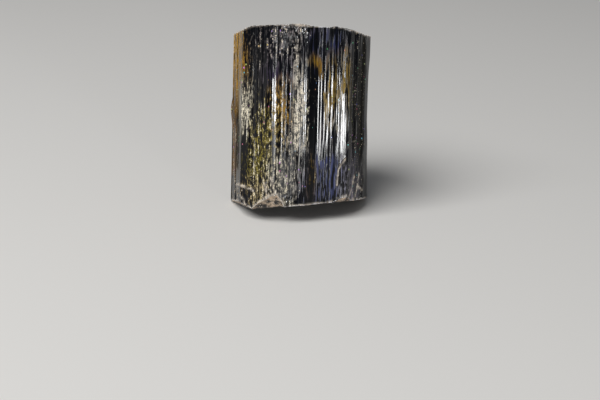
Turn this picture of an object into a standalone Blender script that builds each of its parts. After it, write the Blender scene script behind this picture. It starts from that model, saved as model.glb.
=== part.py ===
"""A stout tourmaline prism, broken off at both ends, that stands on its own lower break.

The crystal is one natural piece, so it is one object. It is modelled in a frame of its own, with
the prism's axis along Z, and that frame leans away from the front. The front is towards -Y.
Run with: blender --background --python part.py
"""

import math
import random

import bmesh
import bpy
from mathutils import Matrix, Vector, noise

MM = 0.001

# Driving dimensions, in millimetres and degrees, in the crystal's own frame.
LEAN = 9.5  # the axis leans back, away from the front
AXIS_FOOT = Vector((0.0, -1.58))  # where the axis meets the surface that the crystal stands on
PRISM_LOW, PRISM_HIGH = -2.0, 32.0  # the blank prism reaches past both breaks
LEVELS = 23

# The side faces of a nine-sided tourmaline prism: the direction each one faces, in degrees from the
# front (-Y) towards the right (+X), and how far it lies from the axis. Six belong to the hexagonal
# prism and three narrower ones to the trigonal prism. Uneven growth has turned the left ones a bit.
SIDE_FACES = (
    (12, 10.3),
    (42, 10.8),
    (72, 10.15),
    (132, 9.7),
    (162, 10.3),
    (192, 10.0),
    (252, 10.5),
    (284, 10.95),
    (322, 11.95),
)
EDGE_SHARPNESS = 80  # higher keeps the edges between side faces sharper

# Growth striae run along the prism. The wall is a staircase of narrow facets, each of which lies
# parallel to one of the side faces nearby. Facets that lie more across the wall are narrower.
STRIA_SEED = 23
STRIA_WIDTHS = ((0.22, 0.42, 0.58), (0.42, 0.75, 0.32), (0.75, 1.3, 0.1))  # from, to, share
STEP_WIDTH = 0.13
FACET_WOBBLE = 2.2  # degrees
STEEPEST_TURN = 62  # degrees from the wall
STEEP_RARITY = 34  # degrees: a lower value makes steep facets rarer
STEP_TURN = 45  # degrees from the wall, past which a facet is no wider than a step
STRIA_RELIEF = 0.2
MOST_RELIEF = 0.6
MEAN_RADIUS = 10.9

# Slow changes over the wall: how strong, how many to a radian round the axis, how many to a
# millimetre along it, and a shift that sets the two patterns apart.
RELIEF_FADING = (0.3, 4.0, 0.12, 0)  # a share of the striae's relief
WALL_BOWING = (0.08, 0.8, 0.06, 5)  # in millimetres

# Broad plates on the front: from and to direction round the axis, and the direction each faces.
PLATE_SHARE = 0.72  # how many of the facets on a plate lie parallel to it
PLATES = (
    (-26, -17.5, 3),
    (-17.5, -9, 16),
    (-9, 0.5, 8),
    (0.5, 3, 12),
    (3, 14.5, 24),
    (14.5, 26, 12),
    (26, 32, 40),
    (32, 44, 13),
    (44, 52, 62),
)

# Growth ledges: from and to direction, from and to height, and how far each panel stands out.
LEDGES = (
    (262, 296, 12.0, 16.8, 0.24),
    (292, 321, -9.0, 4.2, -0.14),
    (40, 64, -9.0, 8.6, -0.12),
    (66, 106, -9.0, 8.2, 0.14),
    (60, 106, 9.5, 25.0, -0.16),
    (108, 128, 5.0, 18.5, -0.2),
    (142, 158, 10.0, 40.0, 0.22),
    (172, 200, 12.0, 40.0, -0.24),
    (214, 240, -9.0, 9.0, 0.3),
)
LEDGE_RUN = 1.3  # the length over which a ledge rises at each end

# Breaks across the whole prism: where each one crosses the axis, and the way it looks.
TOP_BREAKS = (
    (28.0, Vector((-0.01, 0.16, 1))),
    (30.6, Vector((0.29, 0.074, 1))),
    (30.3, Vector((-0.2, 0.46, 1))),
)
# The lower break, in the frame that the crystal stands in: level behind, rising to the front.
RISING_BREAK = Vector((0.1, -0.296, -1))
BREAK_ROUGHNESS = 0.34
BREAK_SWELLS = 0.21  # to a millimetre
FINE_SWELLS = (3, 0.4)  # finer swells on those: how many times as many, and how high beside them

# Chips off the rims: a point on each chip's face, and the way the face looks.
CHIPS = {
    "right_toe": (Vector((7.3, -7.6, 2.1)), Vector((0.45, -0.55, -0.7))),
    "left_toe": (Vector((-10.9, -1.1, 0.4)), Vector((-0.55, -0.25, -0.85))),
    "top_left_corner": (Vector((-9.3, -5.0, 28.4)), Vector((-0.36, 0.09, 1))),
    "back_rim": (Vector((3.6, 8.6, 24.6)), Vector((0.3, 0.72, 0.62))),
    "back_foot": (Vector((-6.2, 7.4, 4.0)), Vector((-0.5, 0.78, -0.36))),
}
CHIP_ROUGHNESS = 0.13
# Notches, as the points where each one's rim crosses the wall and the points at its bottom.
NOTCH_OVERHANG = 2.0  # how far a notch's cutter reaches out past its rim
NOTCHES = {
    "shoulder_notch": (
        ((-8.6, -8.5, -0.44), (-4.6, -11.38, 2.73), (-3.5, -11.28, 3.16), (-1.03, -10.75, -0.56)),
        ((-5.55, -9.33, -1.03), (-1.6, -8.0, -1.0)),
    ),
}
CUTTER_SIZE = 34.0
CUTTER_CELLS = 20


def facing(degrees):
    """The level direction that is this many degrees from the front towards the right."""
    return Vector((math.sin(math.radians(degrees)), -math.cos(math.radians(degrees)), 0))


def turn_between(first, second):
    """The signed turn in degrees from one direction to another, between -180 and 180."""
    return (second - first + 180) % 360 - 180


def smooth_radius(degrees):
    """How far the smooth prism wall lies from the axis in this direction."""
    towards = facing(degrees)
    nearness = (max(0.0, towards.dot(facing(turn))) / reach for turn, reach in SIDE_FACES)
    return sum(n**EDGE_SHARPNESS for n in nearness) ** (-1 / EDGE_SHARPNESS)


def smooth_facing(degrees):
    """The direction that the smooth wall faces here."""
    along = facing(degrees + 1) * smooth_radius(degrees + 1)
    along -= facing(degrees - 1) * smooth_radius(degrees - 1)
    return math.degrees(math.atan2(along.y, along.x))


def facet_turn(draw, degrees, offset):
    """How far the next facet turns from the wall, chosen to keep the striae near the wall."""
    wall = smooth_facing(degrees)
    for start, end, plate in PLATES:
        if start <= degrees < end and draw.random() < PLATE_SHARE:
            return turn_between(wall, plate)
    turns = [turn_between(wall, side) for side, _ in SIDE_FACES]
    turns = [turn for turn in turns if abs(turn) < STEEPEST_TURN]
    weights = []
    for turn in turns:
        returning = math.copysign(1, turn) * offset / STRIA_RELIEF
        weights.append(math.exp(-abs(turn) / STEEP_RARITY + returning))
    return draw.choices(turns, weights)[0]


def stria_ribs():
    """The direction and the offset from the smooth wall of every rib between two striae."""
    draw = random.Random(STRIA_SEED)
    shares = [share for _, _, share in STRIA_WIDTHS]
    ribs, degrees, offset = [], -180.0, 0.0
    while degrees < 180:
        ribs.append((degrees, offset))
        narrow, wide, _ = draw.choices(STRIA_WIDTHS, shares)[0]
        turn = facet_turn(draw, degrees, offset) + draw.gauss(0, FACET_WOBBLE)
        width = max(STEP_WIDTH, draw.uniform(narrow, wide) * (1 - abs(turn) / STEP_TURN))
        degrees += math.degrees(width / MEAN_RADIUS)
        offset -= width * math.tan(math.radians(turn))
        offset = max(-MOST_RELIEF, min(MOST_RELIEF, offset))
    return ribs


def ledge_offset(degrees, height):
    """How far the growth ledges raise or sink the wall here."""
    offset = 0.0
    for start, end, low, high, step in LEDGES:
        if start <= degrees % 360 <= end:
            inside = min(height - low, high - height) / LEDGE_RUN
            offset += step * min(1.0, max(0.0, inside))
    return offset


def slow_change(pattern, degrees, height):
    """The value of a slow change at this place on the wall."""
    strength, around, along, shift = pattern
    return strength * noise.noise(facing(degrees) * around + Vector((0, shift, height * along)))


def wall_point(degrees, offset, height):
    """The point of the striated wall in this direction and at this height."""
    radius = smooth_radius(degrees) + ledge_offset(degrees, height)
    radius += slow_change(WALL_BOWING, degrees, height)
    radius += offset * (1 + slow_change(RELIEF_FADING, degrees, height))
    return facing(degrees) * radius + Vector((0, 0, height))


def new_object(name, bm, collection, parent=None):
    """Turns millimetres into metres and makes the mesh an object."""
    bmesh.ops.recalc_face_normals(bm, faces=bm.faces)
    bmesh.ops.scale(bm, vec=Vector((MM, MM, MM)), verts=bm.verts)
    mesh = bpy.data.meshes.new(name)
    bm.to_mesh(mesh)
    bm.free()
    made = bpy.data.objects.new(name, mesh)
    collection.objects.link(made)
    made.parent = parent
    return made


def striated_prism(collection, parent):
    """A cylinder with one segment for each stria, whose points then move out to the wall."""
    ribs = stria_ribs()
    bm = bmesh.new()
    bmesh.ops.create_cone(
        bm, cap_ends=True, segments=len(ribs), radius1=1, radius2=1, depth=PRISM_HIGH - PRISM_LOW
    )
    upright = [e for e in bm.edges if abs(e.verts[0].co.z - e.verts[1].co.z) > MM]
    bmesh.ops.subdivide_edges(bm, edges=upright, cuts=LEVELS - 2)
    middle = (PRISM_LOW + PRISM_HIGH) / 2
    for vertex in bm.verts:
        share = math.atan2(vertex.co.x, -vertex.co.y) / math.tau
        degrees, offset = ribs[round(share * len(ribs)) % len(ribs)]
        vertex.co = wall_point(degrees, offset, vertex.co.z + middle)
    return new_object("tourmaline_crystal", bm, collection, parent)


def new_cutter(name, bm, collection, parent):
    """An object that only cuts others, drawn as wires and left out of renders."""
    cutter = new_object(name, bm, collection, parent)
    cutter.hide_render = True
    cutter.display_type = "WIRE"
    return cutter


def break_cutter(name, at, towards, roughness, collection, parent=None):
    """A block with one uneven face that passes through a point and looks away from the crystal."""
    bm = bmesh.new()
    cells = CUTTER_CELLS if roughness else 1
    bmesh.ops.create_grid(bm, x_segments=cells, y_segments=cells, size=CUTTER_SIZE / 2)
    finer, share = FINE_SWELLS
    for vertex in bm.verts:
        where = vertex.co * BREAK_SWELLS + at
        vertex.co.z = roughness * (noise.noise(where) + share * noise.noise(where * finer))
    made = bmesh.ops.extrude_face_region(bm, geom=bm.faces[:])["geom"]
    far_side = [v for v in made if isinstance(v, bmesh.types.BMVert)]
    bmesh.ops.translate(bm, verts=far_side, vec=(0, 0, CUTTER_SIZE / 2))
    turn = towards.normalized().to_track_quat("Z", "Y").to_matrix().to_4x4()
    bmesh.ops.transform(bm, matrix=Matrix.Translation(at) @ turn, verts=bm.verts)
    return new_cutter(name, bm, collection, parent)


def notch_cutter(name, rim, bottom, collection, parent):
    """A block with flat faces that reaches in from outside the rim to the bottom of the notch."""
    bm = bmesh.new()
    for point in map(Vector, rim):
        outwards = Vector((point.x, point.y, 0)).normalized() * NOTCH_OVERHANG
        bm.verts.new(point)
        bm.verts.new(point + outwards)
    for point in map(Vector, bottom):
        bm.verts.new(point)
    bmesh.ops.convex_hull(bm, input=bm.verts)
    return new_cutter(name, bm, collection, parent)


def cut(target, cutter):
    """Takes the cutter away from the target."""
    modifier = target.modifiers.new(cutter.name, "BOOLEAN")
    modifier.operation = "DIFFERENCE"
    modifier.object = cutter


def tourmaline_material():
    """Nearly black, glassy tourmaline."""
    material = bpy.data.materials.new("tourmaline")
    material.use_nodes = True
    shader = material.node_tree.nodes["Principled BSDF"]
    shader.inputs["Base Color"].default_value = (0.045, 0.043, 0.05, 1)
    shader.inputs["Roughness"].default_value = 0.22
    shader.inputs["Metallic"].default_value = 0.0
    shader.inputs["IOR"].default_value = 1.63
    return material


def new_collection(name):
    """A collection in the scene."""
    made = bpy.data.collections.new(name)
    bpy.context.scene.collection.children.link(made)
    return made


def main():
    for old in list(bpy.data.objects):
        bpy.data.objects.remove(old)
    crystal_parts = new_collection("tourmaline_crystal")
    cutters = new_collection("cutters")

    axis = bpy.data.objects.new("crystal_axis", None)
    crystal_parts.objects.link(axis)
    axis.location = (AXIS_FOOT.x * MM, AXIS_FOOT.y * MM, 0)
    axis.rotation_euler.x = -math.radians(LEAN)
    bpy.context.view_layer.update()

    crystal = striated_prism(crystal_parts, axis)
    crystal.data.materials.append(tourmaline_material())

    for number, (height, towards) in enumerate(TOP_BREAKS, 1):
        at = Vector((0, 0, height))
        name = f"top_break_{number}"
        cut(crystal, break_cutter(name, at, towards, BREAK_ROUGHNESS, cutters, axis))
    for name, (at, towards) in CHIPS.items():
        cut(crystal, break_cutter(name, at, towards, CHIP_ROUGHNESS, cutters, axis))
    for name, (rim, bottom) in NOTCHES.items():
        cut(crystal, notch_cutter(name, rim, bottom, cutters, axis))

    foot = Vector((*AXIS_FOOT, 0))
    cut(crystal, break_cutter("rising_break", foot, RISING_BREAK, CHIP_ROUGHNESS, cutters))
    cut(crystal, break_cutter("resting_face", foot, Vector((0, 0, -1)), 0.0, cutters))


main()
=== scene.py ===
"""Dresses a stout black tourmaline prism that stands, leaning a little back, on its lower break.

The crystal is one natural piece. Its striated walls are swept by Geometry Nodes along the prism's
axis, its breaks and chips are cut with uneven blocks, and grains of pale mica are scattered over
its rims and over its weathered places. Lengths are in millimetres and angles in degrees, in the
crystal's own frame, until each finished mesh is moved into the frame that the crystal stands in.
"""

import logging
import math
import random
from collections.abc import Iterable
from dataclasses import dataclass, field
from enum import Enum
from functools import partial
from typing import Any

import bmesh
import bpy
import numpy as np
from bpy.types import Material, Mesh, NodeTree, Object
from mathutils import Matrix, Vector, noise

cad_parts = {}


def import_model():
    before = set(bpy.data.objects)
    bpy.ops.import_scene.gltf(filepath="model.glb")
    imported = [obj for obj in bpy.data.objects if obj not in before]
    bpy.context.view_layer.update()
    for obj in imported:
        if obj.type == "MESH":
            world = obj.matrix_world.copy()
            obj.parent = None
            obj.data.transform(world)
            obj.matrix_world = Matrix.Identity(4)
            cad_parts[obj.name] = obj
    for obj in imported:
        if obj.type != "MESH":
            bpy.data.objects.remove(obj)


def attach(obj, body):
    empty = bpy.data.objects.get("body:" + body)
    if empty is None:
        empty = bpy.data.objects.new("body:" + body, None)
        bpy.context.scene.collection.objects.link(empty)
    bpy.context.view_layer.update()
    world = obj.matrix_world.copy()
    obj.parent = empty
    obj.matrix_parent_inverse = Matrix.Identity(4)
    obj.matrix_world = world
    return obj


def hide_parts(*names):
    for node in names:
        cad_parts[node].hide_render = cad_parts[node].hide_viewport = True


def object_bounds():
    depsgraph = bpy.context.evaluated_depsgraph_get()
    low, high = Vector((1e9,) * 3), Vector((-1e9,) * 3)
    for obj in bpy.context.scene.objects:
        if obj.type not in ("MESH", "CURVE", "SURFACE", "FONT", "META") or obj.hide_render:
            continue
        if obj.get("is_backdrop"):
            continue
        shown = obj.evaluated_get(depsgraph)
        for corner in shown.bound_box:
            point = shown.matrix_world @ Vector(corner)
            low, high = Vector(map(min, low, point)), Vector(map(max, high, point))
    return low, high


MM = 0.001
CAD_NODE = "tourmaline_crystal"
BODY = "root"

LEAN = 9.5
AXIS_FOOT = Vector((0.0, -1.58, 0.0))

MATH, VECTOR_MATH = "ShaderNodeMath", "ShaderNodeVectorMath"
MIX, RANGE, NOISE = "ShaderNodeMix", "ShaderNodeMapRange", "ShaderNodeTexNoise"
COLOURS = {"data_type": "RGBA", "clamp_factor": True}
SMOOTH = {"interpolation_type": "SMOOTHSTEP"}
SOCKET_TYPES = {
    int: "NodeSocketInt",
    float: "NodeSocketFloat",
    Material: "NodeSocketMaterial",
}

log = logging.getLogger("tourmaline")


class Skin(Enum):
    """The two kinds of surface on the crystal, by material slot."""

    GROWTH = 0
    BREAK = 1


class Zone(Enum):
    """The point attributes that say what a place on the wall is like."""

    TINT = "tint"
    CLOUD = "cloud"
    # Where the striae carry painted silver highlights.
    SILVER_SHEEN = "frost"
    GRAIN = "grain"
    RIM = "rim"


# --- helpers ---


def linear(hex_colour: str) -> tuple[float, float, float, float]:
    """Turns an sRGB hex colour into a linear one.

    Args:
        hex_colour: A colour such as "#a07c2a".

    Returns:
        Its linear red, green and blue, and an alpha of 1.
    """
    parts = [int(hex_colour[i : i + 2], 16) / 255 for i in (1, 3, 5)]
    red, green, blue = (c / 12.92 if c <= 0.04045 else ((c + 0.055) / 1.055) ** 2.4 for c in parts)
    return red, green, blue, 1.0


def connect(tree: NodeTree, node: Any, feeds: dict[Any, Any]) -> None:
    """Gives a node's inputs their values and links.

    Args:
        tree: The node's tree.
        node: The node.
        feeds: Input socket names or numbers, each with what it takes: a value, an output socket,
            or a node, whose first output in use is taken.
    """
    for name, value in feeds.items():
        if isinstance(value, bpy.types.Node):
            value = next(socket for socket in value.outputs if socket.enabled)
        if isinstance(value, bpy.types.NodeSocket):
            tree.links.new(value, node.inputs[name])
        else:
            node.inputs[name].default_value = value


def add_node(tree: NodeTree, kind: str, feeds: dict[Any, Any], **settings: Any) -> Any:
    """Adds one node to a tree, with its settings, values and links.

    Args:
        tree: The node tree that gets the node.
        kind: The node's type, such as "ShaderNodeMix".
        feeds: What its inputs take, as connect says.
        settings: Properties of the node itself.

    Returns:
        The new node.
    """
    node = tree.nodes.new(kind)
    for name, value in settings.items():
        setattr(node, name, value)
    connect(tree, node, feeds)
    return node


def facing(degrees: float) -> Vector:
    """The level direction that is this many degrees from the front towards the right."""
    return Vector((math.sin(math.radians(degrees)), -math.cos(math.radians(degrees)), 0))


def turn_between(first: float, second: float) -> float:
    """The signed turn from one direction to another, between -180 and 180."""
    return (second - first + 180) % 360 - 180


def crystal_to_row() -> Matrix:
    """The matrix that leans the crystal, sets it on its foot and turns millimetres to metres."""
    lean = Matrix.Rotation(-math.radians(LEAN), 4, "X")
    return Matrix.Scale(MM, 4) @ Matrix.Translation(AXIS_FOOT) @ lean


def new_object(name: str, data: bpy.types.ID) -> Object:
    """Links a mesh, curve, light or camera to the scene as an object at the origin."""
    made = bpy.data.objects.new(name, data)
    bpy.context.scene.collection.objects.link(made)
    return made


def mesh_object(name: str, bm: bmesh.types.BMesh) -> Object:
    """Makes an object of an edited mesh, which is then freed.

    Args:
        name: The object's name.
        bm: The edited mesh.

    Returns:
        The object.
    """
    mesh = bpy.data.meshes.new(name)
    bm.to_mesh(mesh)
    bm.free()
    return new_object(name, mesh)


def applied(source: Object, name: str) -> Object:
    """Makes a plain mesh object of what an object's modifiers give, and removes the object.

    Args:
        source: The object with the modifiers.
        name: The new object's name.

    Returns:
        The new object, with no modifiers.
    """
    bpy.context.view_layer.update()
    graph = bpy.context.evaluated_depsgraph_get()
    mesh = bpy.data.meshes.new_from_object(
        source.evaluated_get(graph), preserve_all_data_layers=True, depsgraph=graph
    )
    mesh.name = name
    bpy.data.objects.remove(source)
    return new_object(name, mesh)


def geometry_tree(name: str, inputs: dict[str, Any]) -> NodeTree:
    """Starts a Geometry Nodes tree with a geometry input, a geometry output and named inputs.

    Args:
        name: The tree's name.
        inputs: Each input's name and value, which is a number or a material.

    Returns:
        The tree, whose group input and output nodes are named "in" and "out".
    """
    tree = bpy.data.node_groups.new(name, "GeometryNodeTree")
    new_socket = tree.interface.new_socket
    for way in ("INPUT", "OUTPUT"):
        new_socket("Geometry", in_out=way, socket_type="NodeSocketGeometry")
    for label, value in inputs.items():
        new_socket(label, in_out="INPUT", socket_type=SOCKET_TYPES[type(value)])
    tree.nodes.new("NodeGroupInput").name = "in"
    tree.nodes.new("NodeGroupOutput").name = "out"
    return tree


def run_tree(carrier: Object, tree: NodeTree, shape: Any, inputs: dict[str, Any], name: str) -> Object:
    """Ends a Geometry Nodes tree, runs it on an object and makes a plain mesh of the result.

    Args:
        carrier: The object, which is removed.
        tree: The tree.
        shape: The node with the finished shape.
        inputs: The value of each named input.
        name: The new object's name.

    Returns:
        The new object, in the material that the inputs name.
    """
    whole = add_node(tree, "GeometryNodeRealizeInstances", {"Geometry": shape})
    material = tree.nodes["in"].outputs["Material"]
    dressed = add_node(tree, "GeometryNodeSetMaterial", {"Geometry": whole, "Material": material})
    connect(tree, tree.nodes["out"], {"Geometry": dressed})
    modifier = carrier.modifiers.new(name, "NODES")
    modifier.node_group = tree
    for item in tree.interface.items_tree:
        if item.in_out == "INPUT" and item.name in inputs:
            modifier[item.identifier] = inputs[item.name]
    return applied(carrier, name)


# --- the prism's section ---


@dataclass(frozen=True)
class SideFace:
    """A side face of the prism: the direction it faces, and how far it lies from the axis."""

    direction: float
    reach: float


@dataclass(frozen=True)
class Plate:
    """A broad plate on the front: where it starts and ends round the axis, and where it faces."""

    start: float
    end: float
    direction: float


@dataclass(frozen=True)
class Section:
    """The prism's section: nine side faces, broken into a staircase of narrow striae."""

    side_faces: tuple[SideFace, ...] = (
        SideFace(12, 10.3),
        SideFace(42, 10.8),
        SideFace(72, 10.15),
        SideFace(132, 9.7),
        SideFace(162, 10.3),
        SideFace(192, 10.0),
        SideFace(252, 10.5),
        SideFace(284, 10.95),
        SideFace(322, 11.95),
    )
    plates: tuple[Plate, ...] = (
        Plate(-26, -17.5, 3),
        Plate(-17.5, -9, 16),
        Plate(-9, 0.5, 8),
        Plate(0.5, 3, 12),
        Plate(3, 14.5, 24),
        Plate(14.5, 26, 12),
        Plate(26, 32, 40),
        Plate(32, 44, 13),
        Plate(44, 52, 62),
    )
    edge_sharpness: float = 80
    seed: int = 23
    widths: tuple[tuple[float, float, float], ...] = (
        (0.22, 0.42, 0.58),
        (0.42, 0.75, 0.32),
        (0.75, 1.3, 0.1),
    )
    step_width: float = 0.13
    wobble: float = 2.2
    steepest_turn: float = 62
    steep_rarity: float = 34
    step_turn: float = 45
    relief: float = 0.2
    most_relief: float = 0.6
    plate_share: float = 0.72
    mean_radius: float = 10.9
    fine_width: float = 0.12
    fine_relief: float = 0.0036

    def smooth_radius(self, degrees: np.ndarray) -> np.ndarray:
        """How far the smooth wall lies from the axis in each direction.

        Args:
            degrees: The directions.

        Returns:
            One distance for each direction.
        """
        total = np.zeros_like(degrees, dtype=float)
        for face in self.side_faces:
            cosine = np.cos(np.radians(degrees - face.direction))
            total += (np.maximum(0.0, cosine) / face.reach) ** self.edge_sharpness
        return total ** (-1 / self.edge_sharpness)

    def smooth_facing(self, degrees: float) -> float:
        """The direction that the smooth wall faces here.

        Args:
            degrees: Where on the wall, round the axis.

        Returns:
            The direction in degrees from the front.
        """
        before, after = self.smooth_radius(np.array([degrees - 1, degrees + 1]))
        along = facing(degrees + 1) * after - facing(degrees - 1) * before
        return math.degrees(math.atan2(along.y, along.x))

    def facet_turn(self, draw: random.Random, degrees: float, offset: float) -> float:
        """Chooses how far the next facet turns from the wall.

        Args:
            draw: The source of random numbers.
            degrees: Where the facet starts, round the axis.
            offset: How far the wall stands out from its smooth form there.

        Returns:
            The turn in degrees, which tends to bring the wall back to its smooth form.
        """
        wall = self.smooth_facing(degrees)
        for plate in self.plates:
            if plate.start <= degrees < plate.end and draw.random() < self.plate_share:
                return turn_between(wall, plate.direction)
        turns = [turn_between(wall, face.direction) for face in self.side_faces]
        turns = [turn for turn in turns if abs(turn) < self.steepest_turn]
        weights = []
        for turn in turns:
            returning = math.copysign(1, turn) * offset / self.relief
            weights.append(math.exp(-abs(turn) / self.steep_rarity + returning))
        return draw.choices(turns, weights)[0]

    def ribs(self) -> list[tuple[float, float]]:
        """The direction, and the offset from the smooth wall, of every rib between two striae.

        Returns:
            A direction and an offset for each rib, in order round the axis.
        """
        draw = random.Random(self.seed)
        shares = [share for _, _, share in self.widths]
        ribs, degrees, offset = [], -180.0, 0.0
        while degrees < 180:
            ribs.append((degrees, offset))
            narrow, wide, _ = draw.choices(self.widths, shares)[0]
            turn = self.facet_turn(draw, degrees, offset) + draw.gauss(0, self.wobble)
            share = 1 - abs(turn) / self.step_turn
            width = max(self.step_width, draw.uniform(narrow, wide) * share)
            degrees += math.degrees(width / self.mean_radius)
            offset -= width * math.tan(math.radians(turn))
            offset = max(-self.most_relief, min(self.most_relief, offset))
        return ribs

    def outline(self) -> list[Vector]:
        """The section's points, with each stria split into finer ones that tilt a little.

        Returns:
            The points, in order round the axis.
        """
        draw = random.Random(self.seed + 1)
        ribs = self.ribs()
        ends = ribs[1:] + [(ribs[0][0] + 360, ribs[0][1])]
        directions, offsets = [], []
        for (start, low), (end, high) in zip(ribs, ends):
            width = math.radians(end - start) * self.mean_radius
            count = max(1, round(width / self.fine_width))
            for step in range(count):
                share = step / count
                tilt = draw.gauss(0, self.fine_relief) if step else 0.0
                directions.append(start + (end - start) * share)
                offsets.append(low + (high - low) * share + tilt)
        radii = self.smooth_radius(np.array(directions)) + np.array(offsets)
        return [facing(turn) * radius for turn, radius in zip(directions, radii)]


# --- ledges, ridges and bruises on the wall ---


@dataclass(frozen=True)
class Wave:
    """Smooth noise: its strength, its cells per millimetre along X, Y and Z, and its shift."""

    strength: float
    per_mm: tuple[float, float, float]
    shift: float = 0.0

    def at(self, points: np.ndarray) -> np.ndarray:
        """The noise at each point, one in each row.

        Args:
            points: The points, one in each row.

        Returns:
            One value for each point.
        """
        scaled = points * np.asarray(self.per_mm) + self.shift
        return self.strength * np.array([noise.noise(Vector(row)) for row in scaled])


@dataclass(frozen=True)
class Wall:
    """The wall's vertices: their places, directions, heights and how far patterns wander there."""

    places: np.ndarray
    degrees: np.ndarray
    heights: np.ndarray
    wander: np.ndarray


@dataclass(frozen=True)
class Ledge:
    """A growth ledge: from and to direction, from and to height, and how far it stands out."""

    start: float
    end: float
    low: float
    high: float
    step: float
    run: float = 5.0

    def offset(self, degrees: np.ndarray, heights: np.ndarray) -> np.ndarray:
        """How far the ledge moves the wall at each place.

        Args:
            degrees: The direction of each place, round the axis.
            heights: The height of each place, along the axis.

        Returns:
            One distance for each place, outwards.
        """
        inside = np.minimum(heights - self.low, self.high - heights) / self.run
        inside = np.clip(inside, 0, 1)
        across = (self.start <= degrees % 360) & (degrees % 360 <= self.end)
        return np.where(across, self.step * inside**2 * (3 - 2 * inside), 0.0)


@dataclass(frozen=True)
class Patch:
    """A soft-edged place on the wall, by its middle, its half sizes and its strength."""

    direction: float
    height: float
    half_turn: float
    half_height: float
    strength: float
    softness: float = field(default=0.5, kw_only=True)

    def share(self, degrees: np.ndarray, heights: np.ndarray) -> np.ndarray:
        """How much each place lies inside the patch, from 0 to 1.

        Args:
            degrees: The direction of each place, round the axis.
            heights: The height of each place, along the axis.

        Returns:
            One share for each place.
        """
        across = ((degrees - self.direction + 180) % 360 - 180) / self.half_turn
        along = (heights - self.height) / self.half_height
        reach = np.sqrt(across**2 + along**2)
        return np.clip((1 + self.softness - reach) / (2 * self.softness), 0, 1)


@dataclass(frozen=True)
class Tint(Patch):
    """A patch of colour that shows through the dark crystal, and how cloudy it is."""

    colour: str
    cloudy: float = 1.0


@dataclass(frozen=True)
class Ridge:
    """A raised fracture line along a few points, each a direction and a height."""

    points: tuple[tuple[float, float], ...]
    half_width: float = 0.16
    rise: float = 0.12

    def share(self, degrees: np.ndarray, heights: np.ndarray, radius: float) -> np.ndarray:
        """How close each place lies to the line, from 0 to 1.

        Args:
            degrees: The direction of each place, round the axis.
            heights: The height of each place, along the axis.
            radius: The wall's mean distance from the axis.

        Returns:
            One share for each place, which is 1 on the line.
        """
        places = np.stack([np.radians(degrees) * radius, heights], axis=1)
        corners = np.array([(math.radians(turn) * radius, height) for turn, height in self.points])
        nearest = np.full(len(places), np.inf)
        for first, last in zip(corners, corners[1:]):
            run = last - first
            along = np.clip((places - first) @ run / (run @ run), 0, 1)
            gap = np.linalg.norm(places - first - along[:, None] * run, axis=1)
            nearest = np.minimum(nearest, gap)
        return np.exp(-((nearest / self.half_width) ** 2))


def strongest(
    least: Any, patches: Iterable[Patch], degrees: np.ndarray, heights: np.ndarray
) -> np.ndarray:
    """How strong the strongest of some patches is at each place.

    Args:
        least: The least that a place can have.
        patches: The patches.
        degrees: The direction of each place, round the axis.
        heights: The height of each place, along the axis.

    Returns:
        One value for each place.
    """
    for patch in patches:
        least = np.maximum(least, patch.share(degrees, heights) * patch.strength)
    return least


# --- breaks and notches ---


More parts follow.
